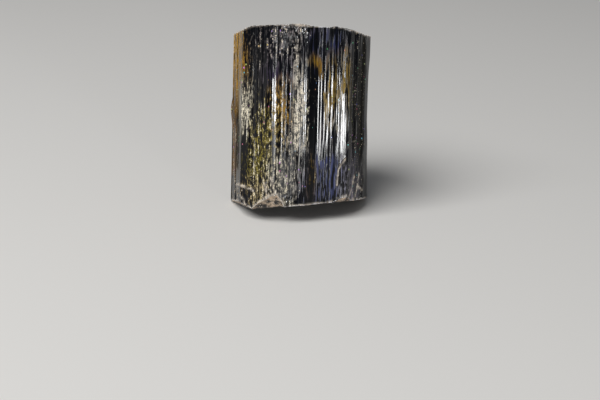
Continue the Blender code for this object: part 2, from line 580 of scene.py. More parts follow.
@dataclass(frozen=True)
class Break:
    """An uneven break: a point on it, the way it looks, and its roughness."""

    name: str
    at: tuple[float, float, float]
    towards: tuple[float, float, float]
    roughness: float = 0.13
    size: float = 18.0
    crushed: float = 0.55
    cell: float = 0.3
    worn_width: float = 1.1
    standing: bool = False
    swell_per_mm: float = 0.21
    small_swell: float = 0.4
    hackle: float = 0.3
    grain: float = 0.12
    times_finer: tuple[int, int, int] = (3, 7, 16)

    def turn(self) -> Matrix:
        """The rotation from the break's own level frame to the crystal's."""
        return Vector(self.towards).normalized().to_track_quat("Z", "Y").to_matrix().to_4x4()

    def relief(self, place: Vector) -> float:
        """The break's height at a place in its own frame: swells, hackles and fine grain.

        Args:
            place: The place, in the break's own frame.

        Returns:
            The height over the break's plane.
        """
        if not self.roughness:
            return 0.0
        where = Vector((place.x, place.y, 0)) * self.swell_per_mm + Vector(self.at)
        small, hackle, grain = (noise.noise(where * times) for times in self.times_finer)
        swell = noise.noise(where) + self.small_swell * small
        fracture = self.hackle * abs(hackle) + self.grain * grain
        return self.roughness * (swell + fracture)

    def placement(self) -> Matrix:
        """The matrix from the break's own frame to the crystal's frame.

        Returns:
            The matrix, which also undoes the lean for a break that is placed as the crystal stands.
        """
        placed = Matrix.Translation(Vector(self.at)) @ self.turn()
        if self.standing:
            standing_to_crystal = (Matrix.Scale(1 / MM, 4) @ crystal_to_row()).inverted()
            placed = standing_to_crystal @ Matrix.Translation(AXIS_FOOT) @ placed
        return placed

    def depth(self, points: np.ndarray) -> np.ndarray:
        """How deep each point of the crystal lies behind the break.

        Args:
            points: The points, one in each row.

        Returns:
            One depth for each point.
        """
        back = np.array(self.placement().inverted())
        local = points @ back[:3, :3].T + back[:3, 3]
        return -local[:, 2]

    def cutter(self, section: Section) -> Object:
        """Makes a block whose near face is the break, with its pale, crushed places marked.

        Args:
            section: The prism's section, whose outline is where a break is crushed most.

        Returns:
            The block.
        """
        bm = bmesh.new()
        cells = round(self.size / self.cell) if self.roughness else 1
        bmesh.ops.create_grid(bm, x_segments=cells, y_segments=cells, size=self.size / 2)
        pale = bm.verts.layers.float.new(Zone.RIM.value)
        placement = self.placement()
        for vertex in bm.verts:
            vertex.co.z = self.relief(vertex.co)
            place = placement @ vertex.co
            turn = math.degrees(math.atan2(place.x, -place.y))
            inside = section.smooth_radius(np.array([turn]))[0] - math.hypot(place.x, place.y)
            worn = 1 - min(1.0, max(0.0, inside / self.worn_width))
            vertex[pale] = self.crushed + (1 - self.crushed) * worn
        made = bmesh.ops.extrude_face_region(bm, geom=bm.faces[:])["geom"]
        far_side = [v for v in made if isinstance(v, bmesh.types.BMVert)]
        bmesh.ops.translate(bm, verts=far_side, vec=(0, 0, self.size / 2))
        bmesh.ops.transform(bm, matrix=placement, verts=bm.verts)
        return cutter_object(self.name, bm)


@dataclass(frozen=True)
class Notch:
    """A flat-sided notch: where its rim crosses the wall, and the points at its bottom."""

    name: str
    rim: tuple[tuple[float, float, float], ...]
    bottom: tuple[tuple[float, float, float], ...]
    overhang: float = 2.0
    # The notch's facet is crushed pale, and painted paler still as painted light, since the lamps
    # barely reach it.
    crushed: float = 0.95
    crushed_swell: float = 0.4
    roughness: float = 0.14
    cuts: int = 24
    swell_per_mm: float = 0.9
    small_swell_per_mm: float = 2.7
    small_swell: float = 0.4

    def cutter(self) -> Object:
        """A block that reaches in from outside the rim to the bottom of the notch.

        Returns:
            The block, with its pale, crushed places marked.
        """
        bm = bmesh.new()
        for point in map(Vector, self.rim):
            outwards = Vector((point.x, point.y, 0)).normalized() * self.overhang
            bm.verts.new(point)
            bm.verts.new(point + outwards)
        for point in map(Vector, self.bottom):
            bm.verts.new(point)
        bmesh.ops.convex_hull(bm, input=bm.verts)
        bmesh.ops.subdivide_edges(bm, edges=bm.edges, cuts=self.cuts, use_grid_fill=True)
        bmesh.ops.triangulate(bm, faces=bm.faces)
        bm.normal_update()
        pale = bm.verts.layers.float.new(Zone.RIM.value)
        for vertex in bm.verts:
            swell = noise.noise(vertex.co * self.swell_per_mm)
            swell += self.small_swell * noise.noise(vertex.co * self.small_swell_per_mm)
            vertex[pale] = self.crushed + self.crushed_swell * swell
            vertex.co += vertex.normal * self.roughness * swell
        return cutter_object(self.name, bm)


def cutter_object(name: str, bm: bmesh.types.BMesh) -> Object:
    """Makes a cutter of a closed mesh, with every face in the break's material slot.

    Args:
        name: The cutter's name.
        bm: The closed mesh, which is freed.

    Returns:
        The cutter.
    """
    bmesh.ops.recalc_face_normals(bm, faces=bm.faces)
    for face in bm.faces:
        face.material_index = Skin.BREAK.value
    return mesh_object(name, bm)


# --- finishes ---


def new_material(name: str) -> tuple[Material, NodeTree, Any]:
    """Starts a material.

    Args:
        name: The material's name.

    Returns:
        The material, its node tree and its Principled shader.
    """
    material = bpy.data.materials.new(name)
    material.use_nodes = True
    tree = material.node_tree
    return material, tree, tree.nodes["Principled BSDF"]


def crystal_millimetres(tree: NodeTree, along: float = 1.0) -> Any:
    """Adds coordinates that run along the crystal, in millimetres.

    Args:
        tree: The material's node tree.
        along: A factor on the height, below 1 where a pattern is drawn out along the crystal.

    Returns:
        The node with the coordinates.
    """
    turn = math.radians(LEAN)
    straight = {
        "Vector": add_node(tree, "ShaderNodeTexCoord", {}).outputs["Object"],
        "Location": Matrix.Rotation(turn, 4, "X") @ (AXIS_FOOT * -1),
        "Rotation": (turn, 0, 0),
        "Scale": (1 / MM, 1 / MM, 1 / MM),
    }
    upright = add_node(tree, "ShaderNodeMapping", straight)
    return add_node(tree, "ShaderNodeMapping", {"Vector": upright, "Scale": (1.0, 1.0, along)})


def between(limits: tuple[float, float]) -> dict[str, float]:
    """The inputs that make a range node step from 0 at the first limit to 1 at the second."""
    return {"From Min": limits[0], "From Max": limits[1]}


def spread_noise(tree: NodeTree, where: Any, per_mm: float, detail: float) -> Any:
    """Adds a noise and spreads its values from about 0 to 1.

    Args:
        tree: The material's node tree.
        where: The coordinates, in millimetres.
        per_mm: Cells to a millimetre.
        detail: How many finer octaves it has.

    Returns:
        The node with the value.
    """
    raw = add_node(tree, NOISE, {"Vector": where, "Scale": per_mm, "Detail": detail})
    return add_node(tree, RANGE, {"Value": raw, **between((0.3, 0.7))})


def covered(tree: NodeTree, pattern: Any, share: Any, softness: float) -> Any:
    """Adds a mask over about the given share of a pattern, its highest places first.

    Args:
        tree: The material's node tree.
        pattern: A pattern with values from 0 to 1.
        share: How much of it is covered, from 0 to 1.
        softness: How soft the mask's outline is.

    Returns:
        The node with the mask.
    """
    above = add_node(tree, MATH, {0: pattern, 1: share}, operation="ADD")
    return add_node(tree, RANGE, {"Value": above, **between((1.0, 1.0 + softness))}, **SMOOTH)


def coated(tree: NodeTree, ground: str, coats: Iterable[tuple[Any, Any]]) -> Any:
    """Lays coats of colour over a ground colour, each where its mask is.

    Args:
        tree: The material's node tree.
        ground: The ground colour, in hex.
        coats: Each coat's mask and its colour, which is in hex or comes from a node.

    Returns:
        The node with the finished colour.
    """
    colour = linear(ground)
    for mask, coat in coats:
        coat = linear(coat) if isinstance(coat, str) else coat
        colour = add_node(tree, MIX, {0: mask, 6: colour, 7: coat}, **COLOURS)
    return colour


@dataclass(frozen=True)
class Dots:
    """Round dots: cells to a millimetre, soft outline in cells, and softness of their choice."""

    per_mm: float
    outline: tuple[float, float]
    softness: float

    def add(self, tree: NodeTree, where: Any, share: Any) -> tuple[Any, Any]:
        """Adds the dots.

        Args:
            tree: The material's node tree.
            where: The coordinates, in millimetres.
            share: The share of the cells that have a dot.

        Returns:
            The node with the dots' mask, and a socket with a random value for each dot.
        """
        cells = add_node(tree, "ShaderNodeTexVoronoi", {"Vector": where, "Scale": self.per_mm})
        drawn = add_node(tree, "ShaderNodeSeparateColor", {"Color": cells.outputs["Color"]})
        kept = covered(tree, drawn.outputs["Red"], share, self.softness)
        round_off = {"Value": cells.outputs["Distance"], **between(self.outline)}
        dot = add_node(tree, RANGE, round_off, **SMOOTH)
        mask = add_node(tree, MATH, {0: kept, 1: dot}, operation="MULTIPLY")
        return mask, drawn.outputs["Green"]


@dataclass(frozen=True)
class GrowthFace:
    """Tourmaline's side faces, as grown: glassy and nearly black, with striae along the prism.

    The eye sees a dark, wet-looking face that flashes in fine lines, with colour from thin or
    flawed places inside it, and pale grain where the face is etched. Painted light is laid into
    the colour too: a faint sheen and silver highlights along the striae, an inner glow in the
    coloured patches with cream highlights at their cores, glints on the etch grains and
    iridescent glints in the flaws. Real striae and etch grains are often finer. Here they are as
    coarse as they need to be to show.
    """

    body: str = "#08090c"
    body_sheen: str = "#15171e"
    silver: str = "#d8d4cf"
    cream: str = "#f9edd2"
    bruised: str = "#e2d6c6"
    index: float = 1.64
    reflection: float = 0.16
    polished: float = 0.06
    etched: float = 0.7
    bump: float = 0.15
    bump_depth: float = 0.01
    stria_per_mm: float = 4.4
    mottle_per_mm: float = 3.0
    grain_per_mm: float = 6.0
    grains: Dots = Dots(6.0, (0.5, 0.3), 0.1)
    flaws: Dots = Dots(3.0, (0.4, 0.25), 0.01)
    grain_strength: tuple[float, float] = (0.8, 0.1)
    flaw_share: tuple[float, float] = (0.22, 0.008)
    flaw_glint_colour: tuple[float, float] = (0.72, 0.88)
    cloud_length: float = 0.35
    glow_edge: float = 0.5
    glow_gain: tuple[float, float] = (2.3, 0.12)
    clear_glow: float = 0.7
    solid_glow: float = 0.36
    solid_tint: tuple[float, float] = (0.86, 1.0)
    dull_tint: tuple[float, float] = (0.78, 0.94)
    dull_grain: tuple[float, float] = (0.3, 0.9)
    core_highlight_share: float = 0.62
    core_highlight_edge: float = 0.22
    line_width: float = 0.55
    line_length: float = 0.45
    line_edge: float = 0.25
    line_gain: tuple[float, float] = (0.8, 0.15)
    clustered: tuple[float, float] = (0.45, 0.85)
    worn_mottle: tuple[float, float] = (0.0, 0.5)

    def material(self) -> Material:
        """Builds the material.

        Returns:
            The material.
        """
        material, tree, shader = new_material("tourmaline_growth_face")
        add = partial(add_node, tree)
        whole, in_lengths, drawn_out, around = (
            crystal_millimetres(tree, along) for along in (0.02, 0.09, 0.45, 0.8)
        )
        tint, *others = (add("ShaderNodeAttribute", {}, attribute_name=zone.value) for zone in Zone)
        cloudy, frost, grain, rim = (node.outputs["Fac"] for node in others)
        tinted = tint.outputs["Alpha"]
        stria = spread_noise(tree, whole, self.stria_per_mm, 1.0)
        band = spread_noise(tree, whole, self.stria_per_mm / 3, 1.0)
        length = spread_noise(tree, in_lengths, self.stria_per_mm, 1.0)
        mottle = spread_noise(tree, drawn_out, self.mottle_per_mm, 4.0)
        grit = spread_noise(tree, around, self.grain_per_mm, 1.0)

        # Dark glass with a faint painted sheen along the striae, and colour showing through it in
        #         # drawn-out, broken patches that are painted as an inner glow, brighter along the
        #         striae.
        sheen = add(MATH, {0: stria, 1: band}, operation="MULTIPLY")
        cloud_flow = add(MIX, {0: self.cloud_length, 2: mottle, 3: length})
        flow = add(MIX, {0: cloudy, 2: length, 3: cloud_flow})
        patches = covered(tree, flow, tinted, self.glow_edge)
        solid = add(RANGE, {"Value": tinted, **between(self.solid_tint)}, **SMOOTH)
        gritty = add(MIX, {0: cloudy, 2: self.clear_glow, 3: grit})
        fine = add(MATH, {0: gritty, 1: stria}, operation="MULTIPLY")
        even = add(MATH, {0: solid, 1: self.solid_glow}, operation="MULTIPLY")
        fine = add(MATH, {0: fine, 1: even}, operation="MAXIMUM")
        lit = add(MATH, dict(enumerate((fine, *self.glow_gain))), operation="MULTIPLY_ADD")
        glow = add(MATH, {0: patches, 1: lit}, operation="MULTIPLY")
        # Painted cream highlights at the cores of the glowing, cloudy patches.
        highlit = add(MATH, {0: cloudy, 1: self.core_highlight_share}, operation="MULTIPLY")
        highlit = add(MATH, {0: glow, 1: highlit}, operation="MULTIPLY")
        core_highlight = covered(tree, fine, highlit, self.core_highlight_edge)

        # Painted silver highlights along the striae, each broken into lengths.
        lines = add(MATH, {0: length, 1: self.line_length}, operation="MULTIPLY")
        lines = add(MATH, {0: stria, 1: self.line_width, 2: lines}, operation="MULTIPLY_ADD")
        shine = covered(tree, lines, frost, self.line_edge)
        lit = add(MATH, dict(enumerate((mottle, *self.line_gain))), operation="MULTIPLY_ADD")
        shine = add(MATH, {0: shine, 1: lit}, operation="MULTIPLY")

        # Etch grains and flaws lie in clusters that follow the patches. The grains are pale, and
        #         # their glints are painted into the colour as cream speckles. A flaw holds a thin
        #         film, whose
        #         # iridescent glint is painted as a spectral fleck.
        clusters = add(RANGE, {"Value": flow, **between(self.clustered)}, **SMOOTH)
        clusters = add(MATH, {0: grain, 1: clusters}, operation="MULTIPLY")
        speckle, drawn = self.grains.add(tree, around, clusters)
        strong = add(MATH, dict(enumerate((drawn, *self.grain_strength))), operation="MULTIPLY_ADD")
        speckle = add(MATH, {0: speckle, 1: strong}, operation="MULTIPLY")
        share = add(MATH, dict(enumerate((clusters, *self.flaw_share))), operation="MULTIPLY_ADD")
        flaw, drawn = self.flaws.add(tree, around, share)
        spectral = add(
            "ShaderNodeCombineColor", dict(enumerate((drawn, *self.flaw_glint_colour))), mode="HSV"
        )
        worn = add(RANGE, {"Value": mottle, **between(self.worn_mottle)}, **SMOOTH)
        worn = add(MATH, {0: rim, 1: worn}, operation="MULTIPLY")

        etched = add(RANGE, {"Value": grain, **between(self.dull_grain)}, **SMOOTH)
        dulled = add(RANGE, {"Value": tinted, **between(self.dull_tint)}, **SMOOTH)
        dull = speckle
        for cause in (worn, glow, etched, dulled):
            dull = add(MATH, {0: dull, 1: cause}, operation="MAXIMUM")
        relief = add(MATH, {0: stria, 1: speckle}, operation="ADD")
        bump = {"Strength": self.bump, "Distance": self.bump_depth * MM, "Height": relief}
        coats = (
            (sheen, self.body_sheen),
            (glow, tint.outputs["Color"]),
            (core_highlight, self.cream),
            (shine, self.silver),
            (speckle, self.cream),
            (flaw, spectral),
            (worn, self.bruised),
        )
        dress = {
            "Base Color": coated(tree, self.body, coats),
            "Roughness": add(RANGE, {"Value": dull, "To Min": self.polished, "To Max": self.etched}),
            "IOR": self.index,
            "Specular IOR Level": self.reflection,
            "Normal": add("ShaderNodeBump", bump),
        }
        connect(tree, shader, dress)
        return material


@dataclass(frozen=True)
class BreakFace:
    """Tourmaline's breaks: uneven, brittle fracture, glassy where it is fresh.

    The eye sees black glass with small ripples, which turns pale, pinkish and dull where the
    crystal is crushed, mostly along the rims.
    """

    fresh: str = "#0e0e12"
    fresh_light: str = "#34302f"
    crushed: str = "#d9c2a8"
    dust: str = "#a3978c"
    index: float = 1.64
    reflection: float = 0.35
    fresh_roughness: float = 0.3
    crushed_roughness: float = 0.62
    bump: float = 0.5
    bump_depth: float = 0.05
    ripple_per_mm: float = 0.9
    crush_per_mm: float = 2.4
    dust_share: float = 0.42
    dust_edge: float = 0.4
    pale_share: tuple[float, float] = (0.9, -0.05)
    pale_edge: float = 0.6
    crush_in_ripple: float = 0.4
    grit_in_crush: float = 0.35

    def material(self) -> Material:
        """Builds the material.

        Returns:
            The material.
        """
        material, tree, shader = new_material("tourmaline_break")
        add = partial(add_node, tree)
        around = crystal_millimetres(tree)
        rim = add("ShaderNodeAttribute", {}, attribute_name=Zone.RIM.value).outputs["Fac"]
        ripple = spread_noise(tree, around, self.ripple_per_mm, 6.0)
        crush = spread_noise(tree, around, self.crush_per_mm, 5.0)
        grit = spread_noise(tree, around, self.crush_per_mm * 3, 1.0)
        dusty = add(MATH, {0: ripple, 1: self.dust_share}, operation="MULTIPLY")
        dusty = covered(tree, crush, dusty, self.dust_edge)
        share = add(MATH, dict(enumerate((rim, *self.pale_share))), operation="MULTIPLY_ADD")
        uneven = add(MIX, {0: self.grit_in_crush, 2: crush, 3: grit})
        uneven = add(MIX, {0: self.crush_in_ripple, 2: ripple, 3: uneven})
        pale = covered(tree, uneven, share, self.pale_edge)
        dull = add(MATH, {0: pale, 1: dusty}, operation="MAXIMUM")
        rough = {"Value": dull, "To Min": self.fresh_roughness, "To Max": self.crushed_roughness}
        bump = {"Strength": self.bump, "Distance": self.bump_depth * MM, "Height": crush}
        coats = (ripple, self.fresh_light), (dusty, self.dust), (pale, self.crushed)
        dress = {
            "Base Color": coated(tree, self.fresh, coats),
            "Roughness": add(RANGE, rough),
            "IOR": self.index,
            "Specular IOR Level": self.reflection,
            "Normal": add("ShaderNodeBump", bump),
        }
        connect(tree, shader, dress)
        return material


@dataclass(frozen=True)
class Mica:
    """Pale mica and quartz grains that cling to the rims, crushed: dull, cream to pinkish."""

    light: str = "#f1e7d8"
    warm: str = "#c8a98d"
    index: float = 1.56
    roughness: float = 0.35
    stain_per_mm: float = 1.6
    stained: tuple[float, float] = (0.35, 0.65)

    def material(self) -> Material:
        """Builds the material.

        Returns:
            The material.
        """
        material, tree, shader = new_material("pale_mica")
        around = crystal_millimetres(tree)
        stain = add_node(tree, NOISE, {"Vector": around, "Scale": self.stain_per_mm, "Detail": 2.0})
        share = add_node(tree, RANGE, {"Value": stain, **between(self.stained)}, **SMOOTH)
        colour = coated(tree, self.light, [(share, self.warm)])
        dress = {"Base Color": colour, "Roughness": self.roughness, "IOR": self.index}
        connect(tree, shader, dress)
        return material


# --- the crystal ---


@dataclass(frozen=True)
class Crystal:
    """The crystal: a striated prism with ledges, bruises, two breaks and chipped rims."""

    section: Section = Section()
    low: float = -2.0
    high: float = 32.0
    rows: int = 120
    end_crowding: float = 0.45
    ripple_depth: float = 0.004
    ledges: tuple[Ledge, ...] = (
        Ledge(262, 296, 12.0, 16.8, 0.24, 2.4),
        Ledge(292, 321, -9.0, 4.2, -0.14),
        Ledge(40, 64, -9.0, 8.6, -0.12),
        Ledge(66, 106, -9.0, 8.2, 0.14),
        Ledge(60, 106, 9.5, 25.0, -0.16),
        Ledge(108, 128, 5.0, 18.5, -0.2),
        Ledge(142, 158, 10.0, 40.0, 0.22),
        Ledge(172, 200, 12.0, 40.0, -0.24),
        Ledge(214, 240, -9.0, 9.0, 0.3),
    )
    breaks: tuple[Break, ...] = (
        Break("top_break_1", (0, 0, 28.0), (-0.01, 0.16, 1), 0.34, 34, 0.22),
        Break("top_break_2", (0, 0, 30.6), (0.29, 0.074, 1), 0.34, 34, 0.22),
        Break("top_break_3", (0, 0, 30.3), (-0.2, 0.46, 1), 0.34, 34, 0.22),
        Break("right_toe", (7.3, -7.6, 2.1), (0.45, -0.55, -0.7)),
        Break("left_toe", (-10.9, -1.1, 0.4), (-0.55, -0.25, -0.85)),
        Break("top_left_corner", (-9.3, -5.0, 28.4), (-0.36, 0.09, 1)),
        Break("back_rim", (3.6, 8.6, 24.6), (0.3, 0.72, 0.62)),
        Break("back_foot", (-6.2, 7.4, 4.0), (-0.5, 0.78, -0.36)),
        Break("rising_break", (0, 0, 0), (0.1, -0.296, -1), 0.13, 34, 0.4, standing=True),
        Break("resting_face", (0, 0, 0), (0, 0, -1), 0.0, 34, 0.3, standing=True),
    )
    notch: Notch = Notch(
        "shoulder_notch",
        ((-8.6, -8.5, -0.44), (-4.6, -11.38, 2.73), (-3.5, -11.28, 3.16), (-1.03, -10.75, -0.56)),
        ((-5.55, -9.33, -1.03), (-1.6, -8.0, -1.0)),
    )
    bruises: tuple[Patch, ...] = (
        Patch(62, 2, 16, 4, 0.08),
        Patch(-38, 1.5, 26, 2.6, 0.1),
        Patch(-12, 28.6, 20, 1.8, 0.04),
        Patch(-72, 28.4, 12, 1.6, 0.08),
        Patch(150, 3, 30, 3, 0.2),
        Patch(210, 26, 26, 3, 0.18),
    )
    ridges: tuple[Ridge, ...] = (
        Ridge(((42.4, 8.6), (39.0, 7.9), (35.8, 6.8), (35.7, 4.4)), 0.12, 0.12),
        Ridge(((54.4, 3.6), (49.0, 2.2)), 0.18, 0.14),
        Ridge(((54.4, 3.6), (57.0, 5.6)), 0.13, 0.1),
        Ridge(((76.8, 2.8), (64.0, 3.6), (60.0, 2.0)), 0.18, 0.14),
        Ridge(((64.0, 3.6), (66.0, 5.8)), 0.12, 0.1),
        Ridge(((-66.0, 3.4), (-52.0, 4.0), (-45.0, 3.8), (-36.6, 3.3)), 0.16, 0.14),
        Ridge(((-50.0, 2.4), (-46.0, 1.6), (-44.0, 0.6)), 0.16, 0.12),
        Ridge(((-22.8, 2.7), (-25.0, 3.7), (-27.0, 4.8)), 0.16, 0.1),
        Ridge(((-17.5, 3.2), (-19.5, 4.2), (-21.8, 5.6)), 0.16, 0.1),
        Ridge(((-37.0, 0.9), (-22.8, 2.85), (-17.5, 3.3), (-11.4, 1.4)), 0.18, 0.12),
    )
    # The blue-violet patches are a painted sheen: the bluish cast of the dark faces' gloss, laid into
    # their colour.
    tints: tuple[Tint, ...] = (
        Tint(-48, 18, 34, 12, 0.45, "#6f6a5c"),
        Tint(-14, 22, 17, 4.6, 0.6, "#2c2140", 0.1),
        Tint(-12, 9, 16, 9, 0.46, "#a09880"),
        Tint(-10, 27.6, 28, 3.8, 0.56, "#9a8f90"),
        Tint(-78, 15, 24, 18, 0.97, "#33270f", 0.0),
        Tint(-68, 24, 20, 7.4, 0.8, "#c8940e", 0.55),
        Tint(-48, 16.4, 8, 4, 0.8, "#e8dfc8"),
        Tint(-82, 10, 16, 7, 0.76, "#7d561a", 0.6),
        Tint(-61, 8, 7, 8, 0.96, "#2b2416", 0.0),
        Tint(-15, 15.6, 10, 4.6, 0.7, "#bd8e14", 0.8),
        Tint(-28, 11, 13, 6, 0.64, "#bfac50"),
        Tint(-34, 6.6, 12, 3.4, 0.7, "#a0901a"),
        Tint(-30, 2.8, 17, 3, 0.72, "#dcc68e"),
        Tint(-66, 2.4, 24, 3.2, 0.52, "#86683c"),
        Tint(-1, 16, 6, 9.6, 0.8, "#f6ecd8"),
        Tint(-12, 5.4, 13, 4.8, 0.6, "#d6cdb8"),
        Tint(10, 25.6, 10, 4, 0.56, "#1a1d3a", 0.1),
        Tint(31, 26, 18, 4, 0.56, "#2a3054", 0.1),
        Tint(33, 16, 15, 6.4, 0.42, "#8f8564", 0.4),
        Tint(6.5, 15, 3.4, 8.4, 0.58, "#cdc3ae"),
        Tint(28, 19, 7, 5, 0.66, "#b39444", 0.5),
        Tint(41, 21.2, 7, 4.4, 0.66, "#a0822f", 0.5),
        Tint(22, 5.4, 22, 4.6, 0.62, "#454c74", 0.1),
        Tint(12, 6, 4, 3.6, 0.54, "#7c6420", 0.8),
        Tint(56, 4.6, 15, 4.8, 0.7, "#b3adc0", 0.9),
        Tint(70, 17, 22, 17, 0.97, "#17150e", 0.0),
        Tint(120, 14, 22, 9, 0.55, "#465078", 0.2),
        Tint(150, 8, 20, 7, 0.55, "#979184"),
        Tint(168, 20, 18, 7, 0.66, "#b08c22"),
        Tint(205, 9, 22, 6, 0.64, "#9c944a"),
        Tint(222, 22, 18, 6, 0.55, "#989390"),
        Tint(250, 16, 16, 9, 0.55, "#454c7c", 0.2),
        Tint(13.5, 24.2, 5, 0.9, 0.92, "#8c6a0a", 0.3, softness=0.8),
        Tint(17, 22.7, 2.2, 1.8, 0.91, "#8a660a", 0.3, softness=0.8),
    )
    # Where the striae carry painted silver highlights, and how strongly.
    silver_sheen_patches: tuple[Patch, ...] = (
        Patch(-6, 16, 14, 9, 0.34),
        Patch(30, 15.5, 18, 7, 0.36),
        Patch(-46, 14, 30, 11, 0.3),
        Patch(64, 12, 22, 10, 0.14),
        Patch(-12, 6, 18, 6, 0.3),
        Patch(180, 15, 60, 10, 0.3),
    )
    silver_sheen_everywhere: float = 0.14
    grains: tuple[Patch, ...] = (
        Patch(-4, 15.5, 7, 9, 0.62),
        Patch(-14, 6, 16, 5, 0.55),
        Patch(-14, 27.6, 18, 2.4, 0.5),
        Patch(-26, 11, 12, 7, 0.5),
        Patch(-46, 16.6, 8, 3, 0.5),
        Patch(10, 18, 4, 4, 0.35),
        Patch(62, 16, 20, 14, 0.4),
        Patch(-70, 16, 22, 16, 0.45),
        Patch(150, 10, 25, 8, 0.45),
        Patch(220, 20, 25, 7, 0.45),
    )
    rim_width: float = 0.22
    rim_reach: float = 1.2
    dot_share: float = 0.5
    ridge_share: float = 0.3
    bruise_grain: float = 0.45
    ripple_per_mm: tuple[float, float, float] = (2.6, 2.6, 0.42)
    wander: Wave = Wave(1.0, (0.45, 0.45, 0.3))
    fading: Wave = Wave(0.12, (0.37, 0.37, 0.12))
    swell: Wave = Wave(0.08, (0.07, 0.07, 0.06), 5.0)
    ledge_fray: Wave = Wave(1.2, (1.4, 1.4, 0.0), 4.0)
    zone_fray: Wave = Wave(1.2, (0.9, 0.9, 0.2), 9.0)
    crush: Wave = Wave(1.0, (1.1, 1.1, 0.9))
    crush_grit: Wave = Wave(0.5, (3.1, 3.1, 2.4))
    dotting: Wave = Wave(1.1, (1.3, 1.3, 1.3), 3.0)
    ledge_wander: float = 0.6
    bruise_wander: float = 4.0
    ridge_wander: float = 1.2
    zone_wander: float = 3.5

    def swept_wall(self, growth: Material) -> Object:
        """Sweeps the section up the axis and ripples the wall.

        Args:
            growth: The material of the growth faces.

        Returns:
            The blank prism, closed at both ends.
        """
        curve = bpy.data.curves.new("section", "CURVE")
        curve.dimensions = "3D"
        points = self.section.outline()
        spline = curve.splines.new("POLY")
        spline.points.add(len(points) - 1)
        for target, point in zip(spline.points, points):
            target.co = (*point, 1.0)
        spline.use_cyclic_u = True

        inputs = {
            "Low": self.low,
            "High": self.high,
            "Rows": self.rows,
            "End Crowding": self.end_crowding,
            "Ripple Depth": self.ripple_depth,
            "Seed": float(self.section.seed),
            "Material": growth,
        }
        tree = geometry_tree("striated_prism", inputs)
        add = partial(add_node, tree)
        given = tree.nodes["in"].outputs

        # The rows stand closer together near both ends, where the breaks cut the wall.
        axis = add("GeometryNodeCurvePrimitiveLine", {"End": (0, 0, 1)})
        stations = add("GeometryNodeResampleCurve", {"Curve": axis, "Count": given["Rows"]})
        share = add("GeometryNodeSplineParameter", {})
        turn = add(MATH, {0: share, 1: math.tau}, operation="MULTIPLY")
        wave = add(MATH, {0: turn}, operation="SINE")
        crowd = add(MATH, {0: given["End Crowding"], 1: math.tau}, operation="DIVIDE")
        shift = add(MATH, {0: wave, 1: crowd}, operation="MULTIPLY")
        eased = add(MATH, {0: share, 1: shift}, operation="SUBTRACT")
        height = add(RANGE, {"Value": eased, "To Min": given["Low"], "To Max": given["High"]})
        station = add("ShaderNodeCombineXYZ", {"Z": height})
        placed = add("GeometryNodeSetPosition", {"Geometry": stations, "Position": station})
        sweep = {"Curve": placed, "Profile Curve": given["Geometry"], "Fill Caps": True}
        swept = add("GeometryNodeCurveToMesh", sweep)

        # A faint ripple, drawn out along the crystal, keeps the striae from looking ruled.
        where = add("GeometryNodeInputPosition", {})
        drawn = add(VECTOR_MATH, {0: where, 1: self.ripple_per_mm}, operation="MULTIPLY")
        pattern = {"Vector": drawn, "W": given["Seed"], "Scale": 1.0, "Detail": 2.0}
        ripple = add(NOISE, pattern, noise_dimensions="4D")
        centred = add(MATH, {0: ripple, 1: 0.5}, operation="SUBTRACT")
        depth = add(MATH, {0: centred, 1: given["Ripple Depth"]}, operation="MULTIPLY")
        outwards = add("GeometryNodeInputNormal", {})
        push = add(VECTOR_MATH, {0: outwards, "Scale": depth}, operation="SCALE")
        rippled = add("GeometryNodeSetPosition", {"Geometry": swept, "Offset": push})
        return run_tree(new_object("section", curve), tree, rippled, inputs, "blank_prism")

    def shape_wall(self, prism: Object) -> None:
        """Moves the wall by its ledges, bruises and ridges, and writes what each place is like.

        Args:
            prism: The blank prism.
        """
        mesh = prism.data
        places = np.empty(len(mesh.vertices) * 3)
        mesh.vertices.foreach_get("co", places)
        places = places.reshape(-1, 3)
        degrees = np.degrees(np.arctan2(places[:, 0], -places[:, 1]))
        wall = Wall(places, degrees, places[:, 2], self.wander.at(places))
        radii = np.hypot(places[:, 0], places[:, 1])
        smooth = self.section.smooth_radius(degrees)

        offsets = (radii - smooth) * (1 + self.fading.at(places)) + self.swell.at(places)
        frayed = wall.heights + (self.ledge_fray.at(places) + self.ledge_wander * wall.wander)
        for ledge in self.ledges:
            offsets += ledge.offset(degrees, frayed)
        crushed = np.abs(self.crush.at(places)) + self.crush_grit.at(places)
        bruised, lines = np.zeros((2, len(places)))
        for bruise in self.bruises:
            turned = degrees + self.bruise_wander * wall.wander
            share = bruise.share(turned, wall.heights + wall.wander)
            bruised = np.maximum(bruised, share)
            offsets -= share * bruise.strength * crushed
        for ridge in self.ridges:
            turned = degrees + self.ridge_wander * wall.wander
            share = ridge.share(turned, wall.heights, self.section.mean_radius)
            lines = np.maximum(lines, share)
            offsets += share * ridge.rise
        self.write_zones(mesh, wall, bruised, lines)
        grown = (smooth + offsets) / np.maximum(radii, 1.0)
        places[:, :2] *= grown[:, None]
        mesh.vertices.foreach_set("co", places.ravel())
        mesh.update()

